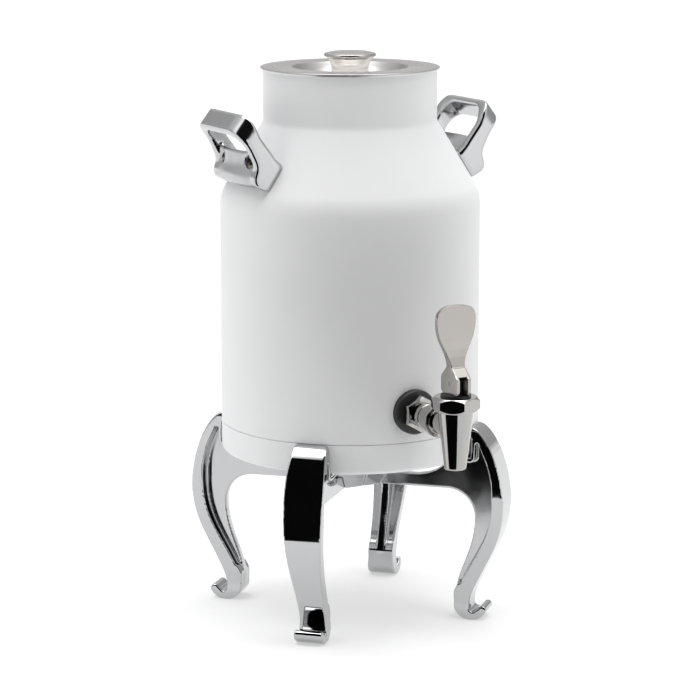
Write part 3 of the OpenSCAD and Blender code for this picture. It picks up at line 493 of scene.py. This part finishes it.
knob_line = [(0, 0, 0), (16, 0, 0.5), (15.6, 1.4, 1), (14.4, 6, 6), (14.6, 15.5, 9), (17.4, 20.6, 6),
             (20.3, 22.3, 0.9), (19.6, 23.9, 0.9), (14, 25.2, 10), (0, 25.7, 0)]
knob_line = rounded([(r, well_z + rise, corner) for r, rise, corner in knob_line])
knob_steel = turned_steel("knob_steel", (0.48, 0.46, 0.445), roughness=0.2, rings=600, depth=0.00001)
turned("lid_knob_turned", "lid_knob", "lid", "satin_steel", knob_line, knob_steel, steps=128)
dress("lid_pan", liner_steel)
dress("lid_seal", black_rubber)
dress("knob_screw", fixing_steel)

# Studio
# A wide white floor lit from within, a white surround, brightest overhead and dark behind the camera, and two
# soft lamps. The camera stands at the photograph's angle and sees neither of the two dark sheets in front: the
# card is there for reflections alone, and the flag shades the soft light alone.
CAMERA_TURN, CAMERA_DIP = -28.5, 11.35  # degrees
FLOOR_SIZE = 90  # metres, so that a low view doesn't see past its end


def matte_paint(name, shade, roughness, glow=0):
    """Flat paint with no gloss, which may glow white."""
    made, nodes, link, shader = new_finish(name, (shade, shade, shade))
    shader.inputs["Roughness"].default_value = roughness
    shader.inputs["Specular IOR Level"].default_value = 0
    shader.inputs["Emission Color"].default_value = (1, 1, 1, 1)
    shader.inputs["Emission Strength"].default_value = glow
    return made


def stand_sheet(name, middle, width, height, turn):
    """Stands a dark sheet upright, turned by degrees from facing the front."""
    bpy.ops.object.select_all(action="DESELECT")
    bpy.ops.mesh.primitive_plane_add(size=1, location=middle,
                                     rotation=(math.radians(90), 0, math.radians(turn)))
    made = bpy.context.object
    made.name = name
    made.scale = (width, height, 1)
    bpy.ops.object.transform_apply(location=True, rotation=True, scale=True)
    made.data.materials.append(card_paint)
    made.visible_camera = False
    return made


bpy.ops.object.select_all(action="DESELECT")
bpy.ops.mesh.primitive_plane_add(size=FLOOR_SIZE, location=(0, 0, 0))
floor = bpy.context.object
floor.name = "studio_floor"
floor.data.materials.append(matte_paint("floor_paint", shade=0.5, roughness=0.9, glow=0.45))
card_paint = matte_paint("card_paint", shade=0.004, roughness=1)
card = stand_sheet("studio_black_card", (-0.189, -0.239, 0.21), width=0.4, height=0.42, turn=-58)
card.visible_diffuse = False
card.visible_shadow = False
flag = stand_sheet("studio_grey_flag", (-0.083, -0.3517, 0.19), width=0.64, height=0.18, turn=-12)
flag.visible_glossy = False

world = bpy.data.worlds.new("studio")
scene.world = world
world.use_nodes = True
wn = world.node_tree.nodes
wl = world.node_tree.links.new


def grey(shade):
    """Gives a shade of grey as a colour."""
    return shade, shade, shade, 1


def steps_of_grey(strength, *steps):
    """Gives the grey that a strength stands for, from steps of (strength, shade)."""
    made = wn.new("ShaderNodeValToRGB")
    stops = made.color_ramp.elements
    for stop, (place, shade) in ((stops[0], steps[0]), (stops[1], steps[-1])):
        stop.position = place
        stop.color = grey(shade)
    for place, shade in steps[1:-1]:
        stops.new(place).color = grey(shade)
    wl(strength, made.inputs["Fac"])
    return made.outputs["Color"]


def mix(share, first, second, how="MIX"):
    """Mixes two colours by a share. Each of the three is another node's output or a plain value."""
    made = wn.new("ShaderNodeMix")
    made.data_type = "RGBA"
    made.blend_type = how
    for socket, value in ((made.inputs["Factor"], share), (made.inputs[6], first), (made.inputs[7], second)):
        if isinstance(value, bpy.types.NodeSocket):
            wl(value, socket)
        else:
            socket.default_value = value
    return made.outputs[2]


def vector_step(operation, vector, other=(0, 0, 0)):
    """Works on a direction, and gives the outputs of the step."""
    made = wn.new("ShaderNodeVectorMath")
    made.operation = operation
    made.inputs[1].default_value = other
    wl(vector, made.inputs[0])
    return made.outputs


way = wn.new("ShaderNodeTexCoord").outputs["Generated"]
level = vector_step("MULTIPLY", way, (1, 1, 0))["Vector"]
heading = vector_step("NORMALIZE", level)["Vector"]
facing = vector_step("DOT_PRODUCT", heading, (-0.4772, -0.8788, 0))["Value"]  # 1 straight behind the camera
split = wn.new("ShaderNodeSeparateXYZ")
wl(way, split.inputs["Vector"])
height = split.outputs["Z"]
front = wn.new("ShaderNodeMapRange")
front.interpolation_type = "SMOOTHSTEP"
front.inputs["From Min"].default_value = 0.6
front.inputs["From Max"].default_value = 0.76
wl(facing, front.inputs["Value"])
around = wn.new("ShaderNodeMapRange")
around.inputs["From Min"].default_value = -1
wl(facing, around.inputs["Value"])
dark = wn.new("ShaderNodeMath")
dark.operation = "MULTIPLY"
wl(front.outputs["Result"], dark.inputs[0])
wl(steps_of_grey(height, (0.91, 1), (0.95, 0)), dark.inputs[1])
surround = steps_of_grey(height, (0.3, 0.15), (0.8, 0.3), (0.96, 1.2), (0.985, 1.2), (0.993, 0.3))
walls = steps_of_grey(around.outputs["Result"], (0, 0.7), (0.12, 0.5), (0.5, 0.62), (0.72, 1))
room = mix(dark.outputs["Value"], mix(1, surround, walls, "MULTIPLY"), grey(0.0012))
horizon = steps_of_grey(height, (0.03, 1), (0.07, 0))
wl(mix(horizon, room, grey(0.178)), wn["Background"].inputs["Color"])
wn["Background"].inputs["Strength"].default_value = 5.8

LAMP_REACH, LAMP_Z = 1.7, 0.75  # metres
for lamp_name, azimuth, power in (("lamp_left", -118, 0.4), ("lamp_right", 62, 0.6)):
    lamp = bpy.data.objects.new(lamp_name, bpy.data.lights.new(lamp_name, "AREA"))
    scene.collection.objects.link(lamp)
    lamp.data.shape = "RECTANGLE"
    lamp.data.size = 0.8
    lamp.data.size_y = 1.4
    lamp.data.energy = power
    a = math.radians(azimuth + CAMERA_TURN)
    lamp.location = (LAMP_REACH * math.sin(a), AXIS_Y - LAMP_REACH * math.cos(a), LAMP_Z)
    lamp.rotation_euler = (math.radians(72), 0, a)

camera = bpy.data.objects.new("camera", bpy.data.cameras.new("camera"))
scene.collection.objects.link(camera)
camera.location = (-0.9887, -1.7813, 0.6194)
camera.rotation_euler = (math.radians(90 - CAMERA_DIP), 0, math.radians(CAMERA_TURN))
camera.data.sensor_width = 36
camera.data.lens = 139.78
camera.data.shift_y = 0.005
scene.camera = camera
scene.view_settings.view_transform = "Standard"
